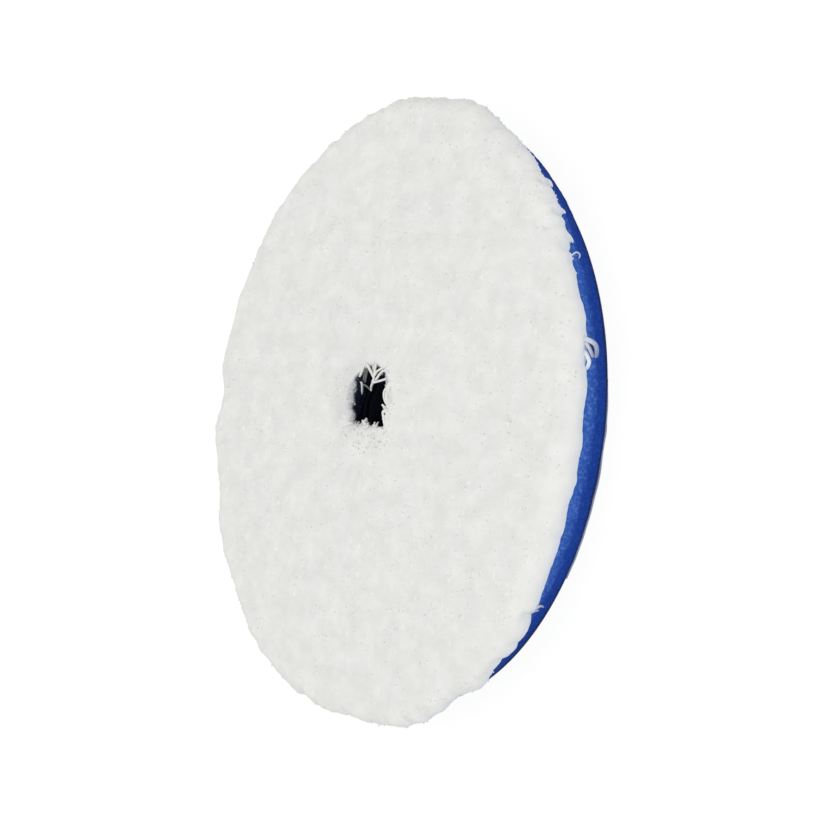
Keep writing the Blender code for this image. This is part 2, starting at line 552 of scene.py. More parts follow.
class Mesh:
    """Small helpers that turn points into objects."""

    # A tube's section is turned afresh where its path runs this close to its own side.
    LEAST_SIDE = 1e-4

    @staticmethod
    def make(name: str, points: Sequence[Any], faces: Sequence[tuple[int, ...]]) -> bpy.types.Mesh:
        """A smooth mesh.

        Args:
            name: the mesh's name.
            points: its points.
            faces: the points of each face, by number.

        Returns:
            The mesh.
        """
        mesh = bpy.data.meshes.new(name)
        mesh.from_pydata(points, [], faces)
        mesh.shade_smooth()
        return mesh

    @staticmethod
    def link(name: str, mesh: bpy.types.Mesh, material: bpy.types.Material) -> bpy.types.Object:
        """Put a mesh in the scene.

        Args:
            name: the object's name.
            mesh: its mesh.
            material: the mesh's only material.

        Returns:
            The object.
        """
        mesh.materials.clear()
        mesh.materials.append(material)
        obj = bpy.data.objects.new(name, mesh)
        bpy.context.collection.objects.link(obj)
        return obj

    @staticmethod
    def ring(name: str, profile: Sequence[Point], segments: int, closed: bool = True) -> bpy.types.Mesh:
        """Turn a (radius, height) profile round Z.

        Args:
            name: the mesh's name.
            profile: points of the section, counter-clockwise seen from -Y at +X.
            segments: steps round the axis.
            closed: join the last point to the first.

        Returns:
            A smooth mesh.
        """
        section = np.array(profile, float)
        turn = np.linspace(0.0, 2 * math.pi, segments, endpoint=False)
        points = np.empty((segments, len(section), 3))
        points[:, :, 0] = np.cos(turn)[:, None] * section[None, :, 0]
        points[:, :, 1] = np.sin(turn)[:, None] * section[None, :, 0]
        points[:, :, 2] = section[None, :, 1]
        return Mesh.make(name, points.reshape(-1, 3).tolist(), Mesh.net(segments, len(section), closed))

    @staticmethod
    def net(segments: int, count: int, closed: bool = True) -> list[tuple[int, ...]]:
        """Faces between sections that stand side by side round the axis.

        Args:
            segments: sections round the axis.
            count: points in a section.
            closed: join the last point of a section to its first.

        Returns:
            Four-sided faces.
        """
        faces = []
        for i in range(segments):
            j = (i + 1) % segments
            for k in range(count if closed else count - 1):
                n = (k + 1) % count
                faces.append((i * count + k, j * count + k, j * count + n, i * count + n))
        return faces

    @staticmethod
    def mark(mesh: bpy.types.Mesh, leans: Sequence[Vector], sizes: Sequence[float]) -> None:
        """Store on a guide what grows there.

        Args:
            mesh: the guide.
            leans: the way it points, at each point of the guide.
            sizes: its size there.
        """
        mesh.attributes.new("lean", "FLOAT_VECTOR", "POINT")
        mesh.attributes.new("size", "FLOAT", "POINT")
        mesh.attributes["lean"].data.foreach_set("vector", np.array(leans, np.float32).ravel())
        mesh.attributes["size"].data.foreach_set("value", np.array(sizes, np.float32))

    @staticmethod
    def tube(path: Sequence[Vector], radii: Sequence[float], sides: int) -> Tube:
        """A closed tube along a path.

        Args:
            path: points of its centreline.
            radii: radius at each point.
            sides: sides of its section.

        Returns:
            Points and faces.
        """
        points: list[Vector] = []
        faces: list[tuple[int, ...]] = []
        across = Vector((1.0, 0.0, 0.0))
        for i, centre in enumerate(path):
            ahead = path[min(i + 1, len(path) - 1)] - path[max(i - 1, 0)]
            ahead.normalize()
            across = across - ahead * across.dot(ahead)
            if across.length < Mesh.LEAST_SIDE:
                across = ahead.orthogonal()
            across.normalize()
            other = ahead.cross(across)
            for s in range(sides):
                angle = 2 * math.pi * s / sides
                points.append(centre + (across * math.cos(angle) + other * math.sin(angle)) * radii[i])
        for i in range(len(path) - 1):
            for s in range(sides):
                t = (s + 1) % sides
                a, b = i * sides, (i + 1) * sides
                faces.append((a + s, a + t, b + t, b + s))
        faces.append(tuple(reversed(range(sides))))
        last = (len(path) - 1) * sides
        faces.append(tuple(range(last, last + sides)))
        return points, faces

    @staticmethod
    def gather(name: str, parts: Iterable[Tube]) -> bpy.types.Mesh:
        """Join tubes into one smooth mesh.

        Args:
            name: the mesh's name.
            parts: points and faces of each tube.

        Returns:
            The mesh.
        """
        points: list[tuple[float, ...]] = []
        faces: list[tuple[int, ...]] = []
        for some_points, some_faces in parts:
            start = len(points)
            points.extend(tuple(point) for point in some_points)
            faces.extend(tuple(i + start for i in face) for face in some_faces)
        return Mesh.make(name, points, faces)

    @staticmethod
    def shelf(name: str, shapes: Iterable[list[Tube]], material: bpy.types.Material) -> bpy.types.Collection:
        """A hidden collection of small shapes to grow from.

        Args:
            name: what each shape is called.
            shapes: the tubes of each shape.
            material: their finish.

        Returns:
            The collection.
        """
        made = bpy.data.collections.new(f"{name}_stock")
        for kind, parts in enumerate(shapes):
            mesh = Mesh.gather(f"{name}_{kind}", parts)
            mesh.materials.append(material)
            made.objects.link(bpy.data.objects.new(f"{name}_{kind}", mesh))
        return made


@dataclass(frozen=True)
class Growth:
    """How densely and how unevenly shapes are grown, with the greatest tilt in degrees."""

    LABELS = ("Density", "Spacing", "Least Scale", "Most Scale", "Tilt", "Seed")

    density: float
    spacing: float
    scales: Point
    tilt: float
    seed: int

    def inputs(self) -> dict[str, float]:
        """A value for each named input of a GrowTree."""
        values = (self.density, self.spacing, *self.scales, math.radians(self.tilt), self.seed)
        return dict(zip(self.LABELS, values))


class GrowTree(Graph):
    """A Geometry Nodes tree that grows small meshes out of a guide surface."""

    TILT_SEED = 7
    SCALE_SEED = 11

    def __init__(self, name: str, shapes: bpy.types.Collection, material: bpy.types.Material) -> None:
        """Build the tree.

        Args:
            name: the tree's name.
            shapes: the shapes it grows.
            material: their finish.
        """
        super().__init__(bpy.data.node_groups.new(name, "GeometryNodeTree"))
        face = self.tree.interface
        face.new_socket("Geometry", in_out="INPUT", socket_type="NodeSocketGeometry")
        for label in Growth.LABELS:
            kind = "NodeSocketInt" if label == "Seed" else "NodeSocketFloat"
            face.new_socket(label, in_out="INPUT", socket_type=kind)
        face.new_socket("Geometry", in_out="OUTPUT", socket_type="NodeSocketGeometry")
        self._wire(shapes, material)

    def _out(self, kind: str, inputs: dict[Any, Any], output: int = 0,
             **settings: Any) -> bpy.types.NodeSocket:
        """Add a node as add does, and return one of its outputs."""
        return self.add(kind, inputs, **settings).outputs[output]

    def _random(self, low: Any, high: Any, seed: Any) -> bpy.types.NodeSocket:
        """A random number from low to high for each point."""
        return self._out("FunctionNodeRandomValue", {2: low, 3: high, "Seed": seed}, 1, data_type="FLOAT")

    def _times(self, first: Any, second: Any) -> bpy.types.NodeSocket:
        """The product of two numbers."""
        return self._out("ShaderNodeMath", {0: first, 1: second}, operation="MULTIPLY")

    def _wire(self, shapes: bpy.types.Collection, material: bpy.types.Material) -> None:
        """Spread points, turn a shape to each point's lean, size it and realize it.

        Args:
            shapes: the shapes that are grown.
            material: their finish.
        """
        given = self.add("NodeGroupInput", {}).outputs
        surface = {0: given["Geometry"], "Distance Min": given["Spacing"], "Density Max": given["Density"],
                   "Seed": given["Seed"]}
        spread = self._out("GeometryNodeDistributePointsOnFaces", surface, distribute_method="POISSON")
        lean = self._out("GeometryNodeInputNamedAttribute", {"Name": "lean"}, data_type="FLOAT_VECTOR")
        size = self._out("GeometryNodeInputNamedAttribute", {"Name": "size"}, data_type="FLOAT")
        aim = self._out("FunctionNodeAlignRotationToVector", {"Vector": lean}, axis="Z")
        spin = self._random(0.0, 2 * math.pi, given["Seed"])
        tilt = self._random(self._times(given["Tilt"], -1.0), given["Tilt"], self.TILT_SEED)
        turn = self._out("ShaderNodeCombineXYZ", {"X": tilt, "Z": spin})
        about = self._out("FunctionNodeEulerToRotation", {0: turn})
        pose = self._out("FunctionNodeRotateRotation", {0: aim, 1: about}, rotation_space="LOCAL")
        scale = self._random(given["Least Scale"], given["Most Scale"], self.SCALE_SEED)
        stock = self._out("GeometryNodeCollectionInfo",
                          {0: shapes, "Separate Children": True, "Reset Children": True})
        grown = self._out("GeometryNodeInstanceOnPoints",
                          {"Points": spread, "Instance": stock, "Pick Instance": True, "Rotation": pose,
                           "Scale": self._times(scale, size)})
        real = self._out("GeometryNodeRealizeInstances", {0: grown})
        dyed = self._out("GeometryNodeSetMaterial", {0: real, "Material": material})
        self.add("NodeGroupOutput", {0: dyed})

    def grow(self, name: str, guide: bpy.types.Mesh, growth: Growth) -> bpy.types.Object:
        """Grow the shapes on a guide and keep the result as a plain mesh.

        Args:
            name: the piece's name.
            guide: a surface with the point attributes lean and size.
            growth: a value for each named input.

        Returns:
            The grown piece, with no modifier left.
        """
        host = bpy.data.objects.new(f"{name}_guide", guide)
        bpy.context.collection.objects.link(host)
        grower = host.modifiers.new("grow", "NODES")
        grower.node_group = self.tree
        values = growth.inputs()
        for item in self.tree.interface.items_tree:
            if item.in_out == "INPUT" and item.name in values:
                grower[item.identifier] = values[item.name]
        bpy.context.view_layer.update()
        ready = host.evaluated_get(bpy.context.evaluated_depsgraph_get())
        mesh = bpy.data.meshes.new_from_object(ready)
        host.modifiers.clear()
        bpy.data.objects.remove(host, do_unlink=True)
        mesh.name = name
        mesh.shade_smooth()
        for layer in ("lean", "size"):
            if layer in mesh.attributes:
                mesh.attributes.remove(mesh.attributes[layer])
        obj = bpy.data.objects.new(name, mesh)
        bpy.context.collection.objects.link(obj)
        return obj


@dataclass(frozen=True)
class Strand:
    """One loose strand of yarn: the points it passes and its two radii, in millimetres."""

    points: tuple[Triple, ...]
    root: float
    tip: float

    def path(self, steps: int = 5) -> list[Vector]:
        """A smooth curve through the points.

        Args:
            steps: points of the curve from one given point to the next.

        Returns:
            The curve's points, in metres.
        """
        given = [Vector(point) * MM for point in self.points]
        given = [given[0] * 2 - given[1]] + given + [given[-1] * 2 - given[-2]]
        made = []
        for a, b, c, d in zip(given, given[1:], given[2:], given[3:]):
            for i in range(steps):
                t = i / steps
                bend = (a * -1 + b * 3 - c * 3 + d) * t ** 3 + (a * 2 - b * 5 + c * 4 - d) * t ** 2
                made.append(b + (bend + (c - a) * t) / 2)
        made.append(given[-2])
        return made


@dataclass(frozen=True)
class LooseYarn:
    """Strands pulled out of the pile, gathered as one piece."""

    name: str
    strands: tuple[Strand, ...]
    sides: int = 6
    # The last share of a strand is rounded off, down to a blunt end.
    rounding: float = 0.12
    blunt: float = 1.05

    def build(self, material: bpy.types.Material) -> bpy.types.Object:
        """Make the strands, each thinner towards its rounded tip.

        Args:
            material: the strands' finish.

        Returns:
            The piece.
        """
        parts = []
        for strand in self.strands:
            path = strand.path()
            radii = []
            for i in range(len(path)):
                t = i / (len(path) - 1)
                near_tip = max(0.0, (t - 1 + self.rounding) / self.rounding)
                radius = strand.root + (strand.tip - strand.root) * t
                radii.append(radius * math.sqrt(self.blunt - near_tip ** 2) * MM)
            parts.append(Mesh.tube(path, radii, self.sides))
        return Mesh.link(self.name, Mesh.gather(self.name, parts), material)


# Seven strands hang into the hole from its upper lip, four lie along its near lip and three lean in from its
# lower lip. The last two stand under the upper lip.
HOLE_STRANDS = (
    Strand(((12.0, 3.6, 17.2), (9.0, 5.6, 16.8), (7.7, 7.0, 16.3), (6.2, 6.6, 15.7), (3.6, 7.2, 14.9)),
           0.34, 0.30),
    Strand(((8.6, 6.0, 16.6), (7.1, 7.9, 16.2), (6.2, 9.6, 15.8)), 0.30, 0.20),
    Strand(((11.2, 3.0, 17.4), (8.4, 0.1, 17.0), (7.4, 0.3, 16.6), (5.9, 1.9, 16.0), (4.7, 2.6, 15.4)),
           0.38, 0.28),
    Strand(((11.4, -1.1, 17.4), (9.2, -0.8, 17.3), (7.7, 0.0, 16.8), (7.0, 1.3, 16.4)), 0.31, 0.27),
    Strand(((11.6, -6.4, 17.4), (10.6, -4.7, 17.5), (9.6, -1.9, 17.3), (8.3, -0.4, 17.0)), 0.34, 0.27),
    Strand(((6.8, 0.9, 16.4), (7.5, -2.8, 16.6), (8.0, -5.4, 17.0), (8.9, -8.0, 17.4)), 0.31, 0.30),
    Strand(((7.5, -0.9, 16.8), (9.2, -3.4, 17.3), (9.9, -5.4, 17.6), (9.4, -7.2, 17.6), (7.9, -8.3, 17.4)),
           0.31, 0.30),
    Strand(((8.0, -8.6, 17.4), (6.0, -6.9, 17.4), (4.7, -5.9, 17.3), (3.1, -6.5, 17.3), (1.6, -8.2, 17.3)),
           0.34, 0.30),
    Strand(((7.6, -8.9, 17.3), (5.6, -7.7, 17.3), (4.3, -7.0, 17.2), (2.9, -7.5, 17.2), (1.4, -8.7, 17.2)),
           0.50, 0.42),
    Strand(((1.8, -8.8, 17.3), (1.5, -7.7, 17.4), (1.3, -7.2, 17.3)), 0.28, 0.20),
    Strand(((0.9, -8.2, 17.3), (0.3, -6.6, 17.4), (-1.2, -6.9, 17.3), (-2.8, -7.5, 17.2), (-4.4, -8.0, 17.1)),
           0.34, 0.22),
    Strand(((-5.8, -5.0, 17.2), (-4.4, -5.8, 17.2), (-3.2, -6.3, 16.7)), 0.30, 0.18),
    Strand(((-6.0, -2.6, 17.2), (-4.5, -3.2, 17.2), (-3.3, -3.6, 16.7)), 0.34, 0.22),
    Strand(((-5.6, 2.2, 17.2), (-4.2, 1.4, 17.1), (-3.4, -0.4, 16.8)), 0.30, 0.20),
    Strand(((10.9, 0.9, 16.6), (9.4, 1.3, 16.2), (8.2, 1.2, 15.8)), 0.42, 0.34),
    Strand(((11.0, -3.1, 16.7), (9.9, -2.6, 16.4), (8.8, -2.2, 16.0)), 0.42, 0.34),
)

# Shaded strands down the hole's far wall.
WALL_STRANDS = (
    Strand(((10.5, 5.2, 16.8), (8.3, 6.8, 16.0), (6.9, 8.0, 15.2)), 0.32, 0.24),
    Strand(((10.1, 4.4, 16.6), (7.9, 5.9, 15.8), (6.3, 7.2, 15.1)), 0.30, 0.22),
    Strand(((9.9, 3.5, 16.6), (7.7, 5.1, 15.8), (6.6, 6.0, 15.2)), 0.30, 0.20),
    Strand(((6.2, 6.2, 15.4), (5.6, 4.5, 15.2), (4.8, 3.4, 14.9)), 0.24, 0.22),
)

# A pulled loop over the foam's near edge, its outer limb and its inner limb, then a small curl further up
# and a tuft of two strands further down.
PULLED_LOOP = (
    Strand(((20.8, -72.6, 12.8), (20.6, -73.6, 12.8), (20.2, -74.7, 12.2), (19.6, -75.2, 11.4),
            (18.6, -75.2, 10.9), (17.6, -74.8, 10.5), (16.9, -74.3, 10.4)), 0.56, 0.44),
    Strand(((20.0, -73.0, 12.4), (19.4, -73.8, 12.4), (18.6, -74.2, 12.0), (17.7, -74.3, 11.4),
            (16.9, -74.1, 10.7)), 0.46, 0.40),
    Strand(((38.3, -65.2, 12.8), (38.6, -65.5, 12.7), (39.1, -66.2, 12.3), (38.6, -66.7, 11.7),
            (37.8, -66.3, 11.6)), 0.20, 0.17),
    Strand(((-38.4, -65.6, 13.0), (-37.6, -66.8, 12.4), (-37.0, -67.4, 11.6), (-37.2, -67.3, 10.6)),
           0.34, 0.22),
    Strand(((-38.9, -65.4, 12.8), (-38.2, -66.4, 12.2), (-38.0, -66.8, 11.4)), 0.28, 0.16),
)

# Shade inside that loop, and a tongue of yarn below it.
LOOP_EYE = (
    Strand(((19.6, -73.3, 11.7), (19.0, -73.6, 11.2), (18.3, -73.5, 10.6), (17.4, -73.4, 10.2)), 0.42, 0.38),
)
EDGE_STRANDS = (
    Strand(((18.3, -72.4, 12.0), (17.6, -73.1, 11.9), (16.4, -73.6, 11.5), (15.6, -73.6, 11.3),
            (14.2, -72.7, 11.2)), 0.50, 0.45),
)


@dataclass
class TuftStock:
    """The few tuft shapes that the pile's fuzz is grown from."""

    kinds: int = 9
    strands: int = 3
    rings: int = 4
    sides: int = 5
    length: float = 1.35 * MM
    length_range: Point = (0.8, 1.0)
    root_spread: float = 0.45 * MM
    tip_spread: float = 0.60 * MM
    tip_range: Point = (0.3, 1.0)
    root_radius: float = 0.25 * MM
    tip_radius: float = 0.19 * MM
    curl: float = 0.20 * MM
    seed: int = 5

    def collection(self, material: bpy.types.Material) -> bpy.types.Collection:
        """Make the tufts, each a bundle of curled strands.

        Args:
            material: the tufts' finish.

        Returns:
            A hidden collection.
        """
        draw = np.random.default_rng(self.seed)
        tufts = [[self._strand(draw) for _ in range(self.strands)] for _ in range(self.kinds)]
        return Mesh.shelf("tuft", tufts, material)

    def _strand(self, draw: np.random.Generator) -> Tube:
        """One strand that leaves the root, bends away and curls at its tip.

        Args:
            draw: where its random numbers come from.

        Returns:
            Points and faces.
        """
        heading = draw.uniform(0, 2 * math.pi)
        away = Vector((math.cos(heading), math.sin(heading), 0.0))
        side = Vector((-away.y, away.x, 0.0))
        root = away * draw.uniform(0, self.root_spread)
        reach = draw.uniform(*self.tip_range) * self.tip_spread
        tall = self.length * draw.uniform(*self.length_range)
        twist = draw.uniform(0, 2 * math.pi)
        path = []
        radii = []
        for i in range(self.rings):
            t = i / (self.rings - 1)
            phase = twist + 2 * math.pi * t
            wobble = (side * math.cos(phase) + away * math.sin(phase)) * self.curl * t
            path.append(root + away * reach * t * t + wobble + Vector((0, 0, tall * t)))
            radii.append(self.root_radius + (self.tip_radius - self.root_radius) * t * t)
        return Mesh.tube(path, radii, self.sides)


@dataclass(frozen=True)
class Bump:
    """A bulge or a dent of an edge: a soft bell with its angle and spread in degrees."""

    place: float
    spread: float
    height: float

    def at(self, angle: float) -> float:
        """How far the edge stands out at an angle."""
        away = (math.degrees(angle) - self.place + 180) % 360 - 180
        return self.height * math.exp(-((away / self.spread) ** 2))


def bump_row(*rows: Triple) -> tuple[Bump, ...]:
    """Bumps of one edge: place and spread in degrees, and height in millimetres."""
    return tuple(Bump(place, spread, height * MM) for place, spread, height in rows)


@dataclass
class PileFace:
    """The white pile: a soft closed body under a fuzz of short curled tufts."""

    # Planes of the noise for the swells, the finer swells, the tufts' sizes, and the lapped tufts.
    SWELL_PLANE = 3.3
    FINE_PLANE = 8.1
    SIZE_PLANE = 9.4
    LAP_PLANE = 2.6
    # Steps through the noise: along it and off it for the lapped tufts' lengths, then from tuft to tuft, from
    # strand to strand and by degrees for their wander.
    LENGTH_STEPS = (1.7, 0.4)
    TUFT_STEP = 1.3
    STRAND_STEP = 0.6
    DEGREES = 10

    tip_radius: float
    root_height: float
    top_height: float
    hole_radius: float
    foam_radius: float
    segments: int = 720
    face_rings: int = 96
    # The roots start this far outside the hole and end this far inside the foam's edge.
    inner_margin: float = 0.5 * MM
    root_margin: float = 1.2 * MM
    # The rolled edge: width, widest line above the roots, hang below them, first angle and sweep.
    roll: float = 3.6 * MM
    widest: float = 0.9 * MM
    droop: float = 2.5 * MM
    roll_start: float = -80.0
    roll_sweep: float = 170.0
    roll_steps: int = 14
    # The edge grows unevenly: size and depth of its bumps, and the same for the mouth's lip. Finer bumps on
    # them are closer by one factor and lower by another.
    edge_ragged: Point = (4.5 * MM, 0.7 * MM)
    lip_ragged: Point = (1.7 * MM, 0.9 * MM)
    ragged_closer: float = 2.6
    ragged_lower: float = 0.5
    # Swells and clumps, with finer ones of a smaller size and height.
    swell: float = 0.42 * MM
    swell_size: float = 14 * MM
    fine_swell: float = 0.5
    clump: float = 0.15 * MM
    clump_size: float = 2.4 * MM
    fine_clump: float = 0.45
    fine_size: float = 0.4
    # They push the rim outwards between these distances inside its tip, and with a gain.
    rim_from: float = 4 * MM
    rim_to: float = 0.5 * MM
    rim_gain: float = 1.4
    # They push the lip inwards between these distances outside the hole. Upwards, they are full this far
    # above the roots.
    lip_from: float = 1 * MM
    lip_to: float = 4 * MM
    full_rise: float = 2.0 * MM
    # Depth of the tufts' roots under the face, and what the rim adds to it over a width.
    bury: float = 1.31 * MM
    rim_bury: float = -0.14 * MM
    rim_width: float = 3 * MM
    # The fuzz lies flat along the near border, between two angles with soft ends, where the skin is steep.
    calm: Point = (224.0, 299.0)
    calm_end: float = 3.0
    calm_bury: float = 0.5 * MM
    steep_from: float = 0.45
    steep_width: float = 0.35
    # No fuzz grows where the skin looks down more than this, or lower than this under the roots.
    bare_below: float = -0.75
    bare_drop: float = 2.0 * MM
    # Angles of the tufts that lap over the foam, the strands in each, and a strand's path: degrees along the
    # edge, then millimetres out of it and down. The rest are its inset, the step from strand to strand, how
    # much its length varies, how far it wanders, and its radii.
    laps: tuple[float, ...] = (318.0, 311.5, 306.0)
    lap_strands: int = 3
    lap_path: tuple[Triple, ...] = (
        (0.8, -2.1, 0.4), (-0.5, -1.1, 0.9), (-1.6, -0.75, 1.4), (-2.5, -0.7, 1.9),
    )
    lap_inset: float = 0.5
    lap_step: float = 0.5
    lap_length: Point = (0.85, 0.35)
    lap_wander: Point = (0.6, 0.35)
    lap_radii: Point = (0.60, 0.22)
    # The tufts lean along +X, and wander: size of the swirls, noise plane and strength.
    nap: float = 0.25
    wanders: tuple[Triple, ...] = ((7 * MM, 1.7, 0.6), (2.5 * MM, 4.2, 0.5))
    # Between these distances from the hole they come to lean in and wander less, and between these from the
    # tip they come to hang and wander more.
    hole_lean: Point = (0.5 * MM, 4 * MM)
    rim_lean: Point = (9 * MM, 3 * MM)
    hole_calm: float = 0.5
    hole_draw: float = 0.4
    rim_wild: float = 0.6
    rim_hang: float = 0.2
    # Tufts are longer near the hole, and uneven by clump.
    hole_longer: float = 0.35
    longer_width: float = 3 * MM
    uneven: float = 0.14
    uneven_size: float = 5 * MM
    # How the tufts of the first zone are grown. Each further zone has the next seed.
    growth: Growth = Growth(4.0e6, 1.2 * MM, (0.88, 1.06), 28.0, 20)
    # The cloth was laid a little off the foam's centre.
    offset: Point = (1.3 * MM, -0.3 * MM)
    # The mouth: a round of its own radius, closer on the near side and cut off flat where the nap leans in.
    mouth_far: float = 8.8 * MM
    mouth_near: float = 6.9 * MM
    mouth_flat: float = 3.5 * MM
    mouth_top: float = 1.6 * MM
    flat_from: float = 0.1
    # The face's fall into the hole, its width and depth on the near and on the far side.
    lip_near: Point = (1.6 * MM, 1.1 * MM)
    lip_far: Point = (3.2 * MM, 2.3 * MM)
    lip_steps: int = 6
    # Bulges and dents of the edge.
    bumps: tuple[Bump, ...] = bump_row(
        (0, 25, -0.5), (30, 20, -2.2), (62, 8, -0.7), (83, 4, 0.9), (90, 4, -1.8), (98, 4, 0.9),
        (109, 6, -0.9), (121, 6, 1.5), (146, 12, 0.6), (168, 5, -0.8), (185, 7, -1.2), (203, 10, 1.7),
        (217.5, 4, -0.9), (222, 6, 2.4), (235, 9, 3.4), (242, 2.5, -0.6), (250, 9, 0.6), (297, 6, -0.9),
        (320, 7, 0.2), (341, 9, 1.0),
    )
    # Gaps between tufts that only bite the outer side of the rolled edge, and where they fade over its top.
    notches: tuple[Bump, ...] = bump_row(
        (225.3, 1.5, -0.8), (228.4, 1.4, -1.4), (233.4, 1.3, -0.6), (238.8, 1.0, -1.3),
        (302.2, 0.6, -1.0), (308.8, 0.6, -1.3), (315.5, 0.7, -1.2),
    )
    notch_fade: Point = (0.93, 1.0)

    def shoulder(self, angle: float) -> float:
        """Radius that the rolled edge is measured from, before its notches.

        Args:
            angle: angle round the axis.

        Returns:
            The radius.
        """
        shift = self.offset[0] * math.cos(angle) + self.offset[1] * math.sin(angle)
        ragged = self._ragged(angle, self.tip_radius, *self.edge_ragged)
        return self.tip_radius + shift + ragged + sum(bump.at(angle) for bump in self.bumps)

    def edge(self, angle: float) -> float:
        """Radius of the pile's widest line at an angle, with its notches."""
        return self.shoulder(angle) + sum(notch.at(angle) for notch in self.notches)

    def mouth(self, angle: float) -> float:
        """Radius of the mouth's lip.

        Args:
            angle: angle round the axis.

        Returns:
            The radius.
        """
        near = max(0.0, -math.sin(angle)) ** 2
        above = max(0.0, math.cos(angle)) ** 2
        lip = self.mouth_far + (self.mouth_near - self.mouth_far) * near + self.mouth_top * above
        across = -math.cos(angle)
        if across > self.flat_from:
            lip = min(lip, self.mouth_flat / across)
        return lip + self._ragged(angle, self.hole_radius, *self.lip_ragged)

    def _ragged(self, angle: float, radius: float, size: float, depth: float) -> float:
        """Uneven growth along an edge of a radius: bumps of a size, with finer ones on them."""
        place = Vector((math.cos(angle), math.sin(angle), 0.0)) * (radius / size)
        return depth * (noise.noise(place) + self.ragged_lower * noise.noise(place * self.ragged_closer))

    def section(self, angle: float) -> list[Point]:
        """The body's section: roots, rolled edge, face, lip and inner wall.

        Args:
            angle: angle round the axis.

        Returns:
            Radius and height of its points.
        """
        root = self.root_height
        tip = self.shoulder(angle)
        bite = self.edge(angle) - tip
        lip = self.mouth(angle)
        inner = self.hole_radius + self.inner_margin
        profile = [(inner, root), (self.foam_radius - self.root_margin, root)]
        for i in range(self.roll_steps + 1):
            turn = math.radians(self.roll_start + self.roll_sweep * i / self.roll_steps)
            high = self.widest + self.droop if turn < 0 else self.top_height - root - self.widest
            fade = 1.0 if turn < 0 else smooth(math.cos(turn), *self.notch_fade)
            profile.append((tip - self.roll * (1 - math.cos(turn)) + bite * fade,
                            root + self.widest + high * math.sin(turn)))
        start = profile[-1][0]
        far = (1 + math.sin(angle)) / 2
        width, drop = (near + (away - near) * far for near, away in zip(self.lip_near, self.lip_far))
        end = lip + width
        for i in range(1, self.face_rings + 1):
            profile.append((start + (end - start) * i / self.face_rings, self.top_height))
        for i in range(1, self.lip_steps + 1):
            turn = math.radians(90 * i / self.lip_steps)
            profile.append((end - width * math.sin(turn), self.top_height - drop * (1 - math.cos(turn))))
        profile.append(((lip + inner) / 2, (profile[-1][1] + root) / 2))
        return profile

    def _bumped(self, point: Vector) -> Vector:
        """Move a body point by swells and clumps, outwards at the rim and upwards on the face.

        Args:
            point: the point. One at the height of the roots stays.

        Returns:
            The moved point.
        """
        if point.z == self.root_height:
            return point
        rise = smooth(point.z, self.root_height - self.droop, self.root_height + self.full_rise)
        radius = math.hypot(point.x, point.y)
        fine = self.fine_size
        move = self.swell * flat_noise(point, self.swell_size, self.SWELL_PLANE)
        move += self.fine_swell * self.swell * flat_noise(point, fine * self.swell_size, self.FINE_PLANE)
        move += self.clump * noise.noise(point / self.clump_size)
        move += self.fine_clump * self.clump * noise.noise(point / (fine * self.clump_size))
        out = smooth(radius, self.tip_radius - self.rim_from, self.tip_radius - self.rim_to)
        inside = 1 - smooth(radius, self.hole_radius + self.lip_from, self.hole_radius + self.lip_to)
        stretch = 1 + (self.rim_gain * out - inside) * move / radius
        return Vector((point.x * stretch, point.y * stretch, point.z + move * (1 - out) * rise))

    def body(self, material: bpy.types.Material) -> bpy.types.Object:
        """Make the closed body.

        Args:
            material: the body's finish.

        Returns:
            The piece.
        """
        points = []
        for i in range(self.segments):
            angle = 2 * math.pi * i / self.segments
            for radius, height in self.section(angle):
                place = Vector((radius * math.cos(angle), radius * math.sin(angle), height))
                points.append(tuple(self._bumped(place)))
        faces = Mesh.net(self.segments, len(points) // self.segments)
        return Mesh.link("pile_body", Mesh.make("pile_body", points, faces), material)

    def _roots(self, points: np.ndarray, normals: np.ndarray) -> np.ndarray:
        """Draw the skin in to where the tufts are rooted.

        Args:
            points: the skin's points.
            normals: its normals.

        Returns:
            The roots' places.
        """
        reach = np.hypot(points[:, 0], points[:, 1])
        rim = np.clip((reach - self.tip_radius + self.rim_from) / self.rim_width, 0.0, 1.0)
        turn = np.degrees(np.arctan2(points[:, 1], points[:, 0])) % 360
        inside = np.minimum(turn - self.calm[0], self.calm[1] - turn)
        steep = np.clip((self.steep_from - normals[:, 2]) / self.steep_width, 0.0, 1.0)
        calm = np.clip(inside / self.calm_end, 0.0, 1.0) * steep
        return points - normals * (self.bury + (self.rim_bury + self.calm_bury * calm) * rim)[:, None]

    def guides(self, body: bpy.types.Mesh) -> dict[Zone, bpy.types.Mesh]:
        """Cut the body's outer skin into zones, with each point's lean and tuft size.

        Args:
            body: the body's mesh.

        Returns:
            The guide of each zone.
        """
        points = np.array([vertex.co for vertex in body.vertices])
        normals = np.array([vertex.normal for vertex in body.vertices])
        roots = self._roots(points, normals)
        zones: dict[Zone, list] = {zone: [] for zone in Zone}
        for polygon in body.polygons:
            if polygon.normal.z < self.bare_below or polygon.center.z < self.root_height - self.bare_drop:
                continue
            radius = math.hypot(polygon.center.x, polygon.center.y)
            zone = next(ring for ring in Zone if radius < ring.value)
            zones[zone].append(tuple(polygon.vertices))
        made = {}
        for zone, faces in zones.items():
            used = sorted({i for face in faces for i in face})
            index = {old: new for new, old in enumerate(used)}
            mesh = bpy.data.meshes.new(f"guide_{zone.name.lower()}")
            mesh.from_pydata(roots[used].tolist(), [], [tuple(index[i] for i in face) for face in faces])
            leans = [self._lean(Vector(points[i]), Vector(normals[i])) for i in used]
            Mesh.mark(mesh, leans, [self._size(Vector(points[i])) for i in used])
            made[zone] = mesh
        return made

